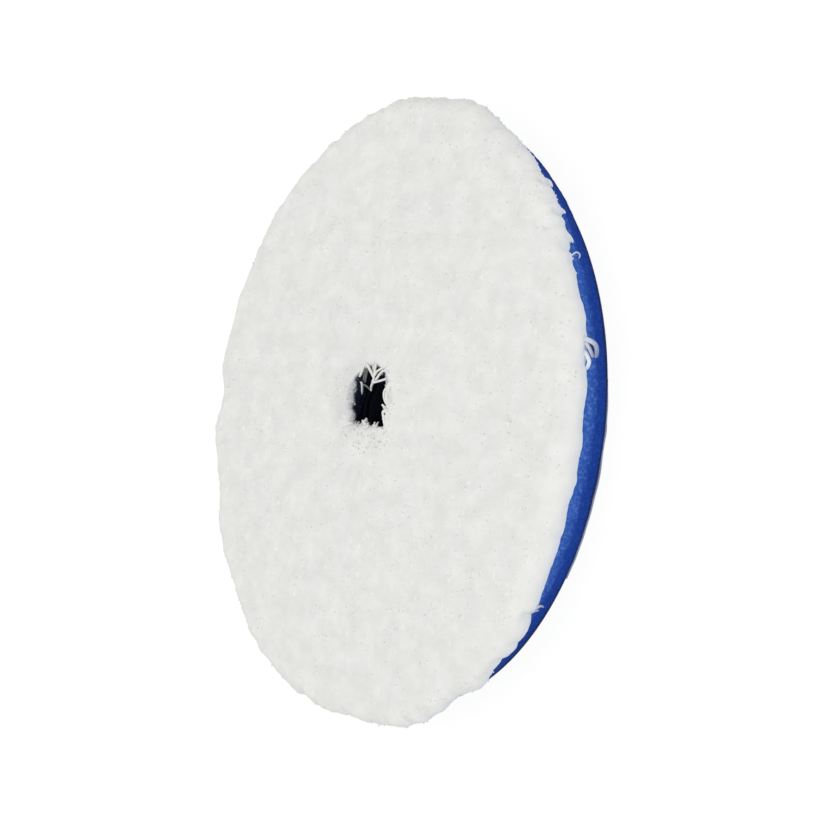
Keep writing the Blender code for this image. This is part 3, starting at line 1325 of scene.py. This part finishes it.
    def lapped(self) -> tuple[Strand, ...]:
        """Tufts that lie along the rolled edge and lap over the foam where the rim is most open.

        Returns:
            Their strands.
        """
        made = []
        for number, place in enumerate(self.laps):
            along, off = self.LENGTH_STEPS
            long = self.lap_length[0] + self.lap_length[1] * noise.noise(Vector((number * along, off, 0.0)))
            for side in range(self.lap_strands):
                step = number * self.TUFT_STEP + side * self.STRAND_STEP
                shift = swirl(step, place / self.DEGREES, 1.0, self.LAP_PLANE)
                points = []
                for turn, out, drop in self.lap_path:
                    angle = math.radians(place + turn * long + self.lap_wander[0] * shift.x)
                    radius = self.edge(angle) / MM - self.lap_inset + out + self.lap_wander[1] * shift.y
                    height = self.root_height / MM - drop - self.lap_step * side
                    points.append((radius * math.cos(angle), radius * math.sin(angle), height))
                made.append(Strand(tuple(points), *self.lap_radii))
        return tuple(made)

    def _lean(self, point: Vector, normal: Vector) -> Vector:
        """The way a tuft points: off the surface, with the nap, wandering, in at the hole.

        Args:
            point: the skin's point.
            normal: its normal.

        Returns:
            A direction.
        """
        radius = math.hypot(point.x, point.y)
        radial = Vector((point.x / radius, point.y / radius, 0.0))
        hole, tip = self.hole_radius, self.tip_radius
        inwards = 1 - smooth(radius, hole + self.hole_lean[0], hole + self.hole_lean[1])
        outwards = smooth(radius, tip - self.rim_lean[0], tip - self.rim_lean[1])
        wander = Vector((0.0, 0.0, 0.0))
        for size, plane, strength in self.wanders:
            wander += swirl(point.x, point.y, size, plane) * strength
        lean = normal + Vector((self.nap, 0.0, 0.0))
        lean += wander * (1 - self.hole_calm * inwards + self.rim_wild * outwards)
        lean -= radial * self.hole_draw * inwards + Vector((0.0, 0.0, self.rim_hang * outwards))
        return lean.normalized()

    def _size(self, point: Vector) -> float:
        """Tuft length against the stock's.

        Args:
            point: the skin's point.

        Returns:
            The length's factor.
        """
        radius = math.hypot(point.x, point.y)
        near = 1 - smooth(radius, self.hole_radius, self.hole_radius + self.longer_width)
        clump = flat_noise(point, self.uneven_size, self.SIZE_PLANE)
        return 1.0 + self.hole_longer * near + self.uneven * clump

    def build(self, base: bpy.types.Material, yarn: bpy.types.Material) -> list[bpy.types.Object]:
        """Make the body and grow the tufts of every zone.

        Args:
            base: the body's finish.
            yarn: the tufts' finish.

        Returns:
            The pieces, the body first.
        """
        pieces = [self.body(base)]
        tree = GrowTree("grow_tufts", TuftStock().collection(yarn), yarn)
        for number, (zone, guide) in enumerate(self.guides(pieces[0].data).items()):
            growth = replace(self.growth, seed=self.growth.seed + number)
            pieces.append(tree.grow(f"pile_{zone.name.lower()}", guide, growth))
        return pieces


@dataclass
class FoamDisc:
    """The blue foam with its soft ridge and open cells."""

    low: float
    high: float
    ridge_radius: float
    hole_radius: float
    ridge_height: float
    bumps: tuple[Bump, ...]
    front_setback: float = 2.0 * MM
    rear_setback: float = 0.8 * MM
    ridge_round: float = 0.2 * MM
    # The flat faces are divided this far outside the hole and, on the front, this far inside the edge.
    hole_band: float = 20 * MM
    front_band: float = 1 * MM
    # A skirt hangs from the rear edge: its lower height, its width and its distance inside the edge.
    skirt_low: float = 1.05 * MM
    skirt_width: float = 1.2 * MM
    skirt_inset: float = 0.3 * MM
    rim_steps: int = 24
    wall_steps: int = 8
    segments: int = 720
    # The cells push a cut face by this much: their two sizes, and the share of the coarser ones.
    cell: float = 0.12 * MM
    cell_sizes: Point = (0.7 * MM, 2.5 * MM)
    coarse_share: float = 0.6
    # Points this close to a flat face stay.
    face_margin: float = 0.05 * MM

    def build(self, material: bpy.types.Material) -> bpy.types.Object:
        """Turn the section and roughen its cut faces with small cells.

        Args:
            material: the foam's finish.

        Returns:
            The piece.
        """
        thick = self.high - self.low
        band = self.hole_radius + self.hole_band
        rear = self.ridge_radius - self.rear_setback
        front = self.ridge_radius - self.front_setback
        skirt = rear - self.skirt_width
        profile = [(self.hole_radius, self.low), (band, self.low), (skirt, self.low)]
        profile += [(skirt, self.skirt_low), (rear - self.skirt_inset, self.skirt_low)]
        for i in range(self.rim_steps + 1):
            height = self.low + thick * i / self.rim_steps
            profile.append((self._rim(height), height))
        profile += [(front - self.front_band, self.high), (band, self.high)]
        for i in range(self.wall_steps):
            profile.append((self.hole_radius, self.high - thick * i / self.wall_steps))
        mesh = Mesh.ring("foam", profile, self.segments)
        for vertex in mesh.vertices:
            vertex.co = self._celled(vertex.co)
        mesh.update()
        return Mesh.link("foam", mesh, material)

    def _rim(self, height: float) -> float:
        """Radius of the rim: two slopes that meet in a rounded ridge.

        Args:
            height: height above the floor.

        Returns:
            The radius.
        """
        above = height - self.low - self.ridge_height
        rear = self.rear_setback / self.ridge_height * above
        front = -self.front_setback / (self.high - self.low - self.ridge_height) * above
        low = math.exp(-rear / self.ridge_round) + math.exp(-front / self.ridge_round)
        return self.ridge_radius - self.ridge_round * math.log(low / 2)

    def _celled(self, point: Vector) -> Vector:
        """Push a rim, skirt or hole-wall point in or out by the cells, and the rim by its bumps.

        Args:
            point: the point. One on a flat face stays.

        Returns:
            The moved point.
        """
        radius = math.hypot(point.x, point.y)
        outer = radius > self.ridge_radius / 2
        edge = self.low + self.face_margin < point.z < self.high - self.face_margin
        if not edge and not (outer and point.z < self.low):
            return point
        fine, coarse = self.cell_sizes
        push = self.cell * (noise.noise(point / fine) + self.coarse_share * noise.noise(point / coarse))
        if outer:
            push += sum(bump.at(math.atan2(point.y, point.x)) for bump in self.bumps)
        stretch = 1 + push / radius
        return Vector((point.x * stretch, point.y * stretch, point.z))


@dataclass
class ThinLayer:
    """A flat ring of cloth with softly rounded cut edges."""

    name: str
    low: float
    high: float
    inner: float
    outer: float
    segments: int = 360
    face_steps: int = 10
    edge_step: float = 45.0

    def build(self, material: bpy.types.Material) -> bpy.types.Object:
        """Turn the section.

        Args:
            material: the cloth's finish.

        Returns:
            The piece.
        """
        middle = (self.low + self.high) / 2
        half = (self.high - self.low) / 2
        start = self.inner + half
        width = self.outer - self.inner - 2 * half
        steps = range(1, self.face_steps)
        profile = [(start, self.low)] + [(start + width * i / self.face_steps, self.low) for i in steps]
        back = [(start + width * (1 - i / self.face_steps), self.high) for i in steps]
        # The outer edge is rounded through five points, and the inner one through four more.
        for centre, first, count, face in ((self.outer - half, -90, 5, back), (start, 90, 4, [])):
            for i in range(count):
                angle = math.radians(first + self.edge_step * i)
                profile.append((centre + half * math.cos(angle), middle + half * math.sin(angle)))
            profile += face
        return Mesh.link(self.name, Mesh.ring(self.name, profile, self.segments), material)

    def area(self) -> float:
        """Flat area of the ring."""
        return math.pi * (self.outer ** 2 - self.inner ** 2)


@dataclass
class LoopNap:
    """The brushed loops on the rear of the loop cloth."""

    # Plane of the noise that the loops' lean follows.
    LEAN_PLANE = 2.2

    cloth_low: float
    inner: float
    outer: float
    kinds: int = 5
    path_steps: int = 6
    sides: int = 3
    thread: float = 0.09 * MM
    width: float = 0.75 * MM
    width_range: Point = (0.7, 1.1)
    skew_range: Point = (-0.3, 0.3)
    seed: int = 9
    # The guide's rings and segments, and the hem that stays bare.
    rings: int = 24
    segments: int = 180
    hem: float = 0.8 * MM
    # Size and strength of the swirls in the loops' lean, and the loops' height against the cloth's.
    lean_size: float = 5 * MM
    lean: float = 0.5
    height_share: float = 0.92
    growth: Growth = Growth(2.2e6, 1.3 * MM, (0.75, 1.0), 20.0, 3)

    def stock(self, material: bpy.types.Material) -> bpy.types.Collection:
        """Make a few loops of thread, standing along +Z.

        Args:
            material: the thread's finish.

        Returns:
            A hidden collection.
        """
        draw = np.random.default_rng(self.seed)
        loops = []
        for _ in range(self.kinds):
            width = self.width * draw.uniform(*self.width_range)
            skew = draw.uniform(*self.skew_range) * MM
            path = []
            for i in range(self.path_steps + 1):
                angle = math.pi * i / self.path_steps
                rise = math.sin(angle)
                path.append(Vector((-width * math.cos(angle), skew * rise ** 2, self.cloth_low * rise)))
            loops.append([Mesh.tube(path, [self.thread] * len(path), self.sides)])
        return Mesh.shelf("loop", loops, material)

    def guide(self) -> bpy.types.Mesh:
        """The cloth's rear face inside its hem, with every loop leaning a little its own way.

        Returns:
            A surface with the point attributes lean and size.
        """
        width = self.outer - self.hem - self.inner
        profile = [(self.inner + width * i / self.rings, self.cloth_low) for i in range(self.rings + 1)]
        mesh = Mesh.ring("loop_guide", profile, self.segments, closed=False)
        leans = []
        for vertex in mesh.vertices:
            wander = swirl(vertex.co.x, vertex.co.y, self.lean_size, self.LEAN_PLANE) * self.lean
            leans.append((wander + Vector((0.0, 0.0, -1.0))).normalized())
        Mesh.mark(mesh, leans, [self.height_share] * len(leans))
        return mesh

    def build(self, material: bpy.types.Material) -> bpy.types.Object:
        """Grow the loops over the rear face."""
        tree = GrowTree("grow_loops", self.stock(material), material)
        return tree.grow("loop_nap", self.guide(), self.growth)


@dataclass(frozen=True)
class Lamp:
    """A square soft light that looks at the pad."""

    name: str
    place: Triple
    size: float
    power: float

    def build(self, target: Vector) -> None:
        """Add the light.

        Args:
            target: the point it looks at.
        """
        data = bpy.data.lights.new(self.name, "AREA")
        data.size = self.size
        data.energy = self.power
        obj = bpy.data.objects.new(self.name, data)
        obj.location = self.place
        obj.rotation_euler = (target - Vector(self.place)).to_track_quat("-Z", "Y").to_euler()
        bpy.context.collection.objects.link(obj)


@dataclass
class Studio:
    """Floor, lights, world and the camera at the picture's angle."""

    # The picture's width, focal length and the pad's middle, in pixels.
    image: int = 826
    focal_px: float = 2200.0
    centre_px: Point = (381.5, 412.5)
    # The camera's distance, and its height and roll in degrees.
    distance: float = 0.525
    elevation: float = 34.2
    roll: float = -83.2
    aim_height: float = 13.5 * MM
    sensor: float = 36.0
    clip_start: float = 0.01
    # A broad key from nearly overhead, and a low fill from the camera's side.
    lamps: tuple[Lamp, ...] = (
        Lamp("key", (-0.05, -0.22, 1.58), 1.5, 10.75),
        Lamp("fill", (-0.10, -1.20, 0.40), 0.8, 1.97),
    )
    lamp_height: float = 10 * MM
    sky: float = 0.50
    # The floor: half its width, its grey, and the share and strength of the glow that the camera sees.
    floor_half: float = 3.0
    floor_grey: float = 0.86
    glow_share: float = 0.90
    glow: float = 1.05

    def camera(self) -> None:
        """Place the camera so that the pad's middle falls on its pixel."""
        e = math.radians(self.elevation)
        r = math.radians(self.roll)
        back = Vector((0.0, -math.cos(e), math.sin(e)))
        level = Vector((1.0, 0.0, 0.0))
        rise = Vector((0.0, math.sin(e), math.cos(e)))
        right = level * math.cos(r) + rise * math.sin(r)
        up = -level * math.sin(r) + rise * math.cos(r)
        half = self.image / 2
        dx = (self.centre_px[0] - half) / self.focal_px * self.distance
        dy = (half - self.centre_px[1]) / self.focal_px * self.distance
        place = Vector((0, 0, self.aim_height)) + back * self.distance - right * dx - up * dy
        data = bpy.data.cameras.new("camera")
        data.sensor_width = self.sensor
        data.lens = self.focal_px * self.sensor / self.image
        data.clip_start = self.clip_start
        obj = bpy.data.objects.new("camera", data)
        turn = Matrix((right, up, back)).transposed()
        obj.matrix_world = Matrix.Translation(place) @ turn.to_4x4()
        bpy.context.collection.objects.link(obj)
        bpy.context.scene.camera = obj

    def world(self) -> None:
        """Even white surroundings, plain white to the camera, to gloss and through glass."""
        world = bpy.data.worlds.new("studio")
        bpy.context.scene.world = world
        world.use_nodes = True
        world.node_tree.nodes.clear()
        graph = Graph(world.node_tree)
        rays = graph.add("ShaderNodeLightPath", {}).outputs
        seen = rays["Is Camera Ray"]
        for kind in ("Is Glossy Ray", "Is Transmission Ray"):
            seen = graph.add("ShaderNodeMath", {0: seen, 1: rays[kind]}, operation="MAXIMUM").outputs[0]
        white = (1.0, 1.0, 1.0, 1.0)
        light, plain = (graph.add("ShaderNodeBackground", {"Color": white, "Strength": strength}).outputs[0]
                        for strength in (self.sky, 1.0))
        mix = graph.add("ShaderNodeMixShader", {0: seen, 1: light, 2: plain})
        graph.add("ShaderNodeOutputWorld", {0: mix.outputs[0]})

    def floor(self) -> None:
        """A wide pale floor that is white to the camera and keeps a soft shadow."""
        half = self.floor_half
        mesh = bpy.data.meshes.new("floor")
        corners = [(-half, -half, 0), (half, -half, 0), (half, half, 0), (-half, half, 0)]
        mesh.from_pydata(corners, [], [(0, 1, 2, 3)])
        material = bpy.data.materials.new("floor")
        material.use_nodes = True
        material.node_tree.nodes.clear()
        graph = Graph(material.node_tree)
        seen = graph.add("ShaderNodeLightPath", {}).outputs["Is Camera Ray"]
        share = graph.add("ShaderNodeMath", {0: seen, 1: self.glow_share}, operation="MULTIPLY")
        paint = graph.add("ShaderNodeBsdfDiffuse", {"Color": (*[self.floor_grey] * 3, 1.0)})
        glow = graph.add("ShaderNodeEmission", {"Strength": self.glow})
        mix = graph.add("ShaderNodeMixShader", {0: share.outputs[0], 1: paint.outputs[0], 2: glow.outputs[0]})
        graph.add("ShaderNodeOutputMaterial", {0: mix.outputs[0]})
        Mesh.link("floor", mesh, material)

    def build(self) -> None:
        """Make the whole studio."""
        self.camera()
        for lamp in self.lamps:
            lamp.build(Vector((0, 0, self.lamp_height)))
        self.world()
        self.floor()
        bpy.context.scene.view_settings.view_transform = "Standard"


@dataclass
class Pad:
    """The whole pad: layer heights and radii come from the frame, the rest is here."""

    # Plane of the noise that the frayed thread follows.
    FRAY_PLANE = 3.0

    hole_radius: float = 9.0 * MM
    pile_radius: float = 74.9 * MM
    pile_height: float = 4.7 * MM
    layer_gap: float = 0.3 * MM
    ridge_height: float = 3.0 * MM
    # The foam and its loop cloth are cut this far inside their true round, the foam with flats and bulges.
    trim: float = 0.5 * MM
    cut_bumps: tuple[Bump, ...] = bump_row(
        (228, 8, -0.25), (245, 6, 0.3), (262, 6, -0.2), (291, 10, -0.15), (318, 7, 0.4), (331, 11, 1.2),
        (338, 7, 1.2),
    )
    # The loop cloth's rear face, and how far its nap stays from the hole and from the cut edge.
    cloth_low: float = 0.75 * MM
    nap_inner: float = 0.5 * MM
    nap_outer: float = 0.15 * MM
    # A thread has frayed from the loop cloth's edge between these two angles. In millimetres: how far it lies
    # inside and under the edge, how far it strays, and its radii. The stray's size is a share of the radius.
    fray: Point = (243.0, 281.0)
    fray_points: int = 40
    fray_inset: float = 0.05
    fray_stray: float = 0.10
    fray_size: float = 0.06
    fray_radii: Point = (0.22, 0.18)
    fray_rounding: float = 0.3

    def span(self, node: str) -> Point:
        """A layer's lower and upper height."""
        low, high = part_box(node)
        return low[2], high[2]

    def radius(self, node: str) -> float:
        """A layer's outer radius."""
        low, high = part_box(node)
        return (high[0] - low[0]) / 2

    def ride(self, piece: bpy.types.Object, slot: str, *nodes: str) -> None:
        """Put a piece on the pad's body and report it.

        Args:
            piece: the piece.
            slot: its material slot, not used.
            nodes: the CAD nodes that it replaces, if any.
        """
        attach(piece, BODY)
        if nodes:
            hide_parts(*nodes)
        LOG.info("%s: %d faces", piece.name, len(piece.data.polygons))

    def build(self) -> None:
        """Make and dress every layer, front to rear."""
        self._pile()
        self._cloth()
        self._foam()
        self._loop()
        film = FilmFinish().material()
        for node in ("rear_bond_film", "front_bond_film"):
            bpy.data.objects[node].data.materials.clear()
            bpy.data.objects[node].data.materials.append(film)

    def _pile(self) -> None:
        """The pile and its loose strands."""
        yarn = FACE_YARN.material()
        base = BODY_YARN.material()
        root = self.span("base_cloth")[1] + self.layer_gap
        top = root + self.pile_height
        pile = PileFace(self.pile_radius, root, top, self.hole_radius, self.radius("foam_disc"))
        body, *tufts = pile.build(base, yarn)
        self.ride(body, "pile", "tufted_pile")
        for tuft in tufts:
            self.ride(tuft, "pile")
        loose = (
            ("hole_strands", HOLE_STRANDS, HOLE_YARN),
            ("wall_strands", WALL_STRANDS, WALL_YARN),
            ("edge_strands", EDGE_STRANDS, EDGE_YARN),
            ("pulled_loop", PULLED_LOOP, SHADED_LOOP_YARN),
            ("loop_eye", LOOP_EYE, DEEP_YARN),
            ("lapped_tufts", pile.lapped(), EDGE_YARN),
        )
        for name, strands, finish in loose:
            self.ride(LooseYarn(name, strands).build(finish.material()), "pile")

    def _cloth(self) -> None:
        """The ground cloth under the pile."""
        low, high = self.span("base_cloth")
        layer = ThinLayer("ground_cloth", low, high, self.hole_radius, self.radius("base_cloth"))
        piece = layer.build(GROUND_CLOTH.material())
        self.ride(piece, "cloth", "base_cloth")
        width = 2 * layer.outer
        layer.area()

    def _foam(self) -> None:
        """The foam disc."""
        low, high = self.span("foam_disc")
        cut = self.radius("foam_disc") - self.trim
        foam = FoamDisc(low, high, cut, self.hole_radius, self.ridge_height, self.cut_bumps)
        piece = foam.build(FoamFinish(low + self.ridge_height).material())
        self.ride(piece, "foam", "foam_disc")

    def _loop(self) -> None:
        """The loop cloth with its brushed loops and its frayed thread."""
        high = self.span("loop_backing")[1]
        outer = self.radius("loop_backing") - self.trim
        layer = ThinLayer("loop_cloth", self.cloth_low, high, self.hole_radius, outer)
        piece = layer.build(LOOP_CLOTH.material())
        self.ride(piece, "loop", "loop_backing")
        nap = LoopNap(self.cloth_low, self.hole_radius + self.nap_inner, outer - self.nap_outer)
        fray = LooseYarn("loop_fray", (self._fray(outer),), rounding=self.fray_rounding)
        thread = LOOP_THREAD.material()
        loops = [nap.build(thread), fray.build(thread)]
        for loop in loops:
            self.ride(loop, "loop")
        layer.area()

    def _fray(self, outer: float) -> Strand:
        """The thread that has come loose along part of the loop cloth's cut edge.

        Args:
            outer: radius of the cut edge.

        Returns:
            The thread.
        """
        first, last = self.fray
        points = []
        for i in range(self.fray_points):
            angle = math.radians(first + (last - first) * i / (self.fray_points - 1))
            across, up = math.cos(angle), math.sin(angle)
            stray = swirl(across, up, self.fray_size, self.FRAY_PLANE) * self.fray_stray
            radius = outer / MM - self.fray_inset + stray.x
            level = self.cloth_low / MM - self.fray_inset + stray.y
            points.append((radius * across, radius * up, level))
        return Strand(tuple(points), *self.fray_radii)


def main() -> None:
    """Build the pad and the studio."""
    logging.basicConfig(level=logging.INFO, format="%(name)s %(message)s")
    Pad().build()
    Studio().build()


if __name__ == "__main__":
    main()
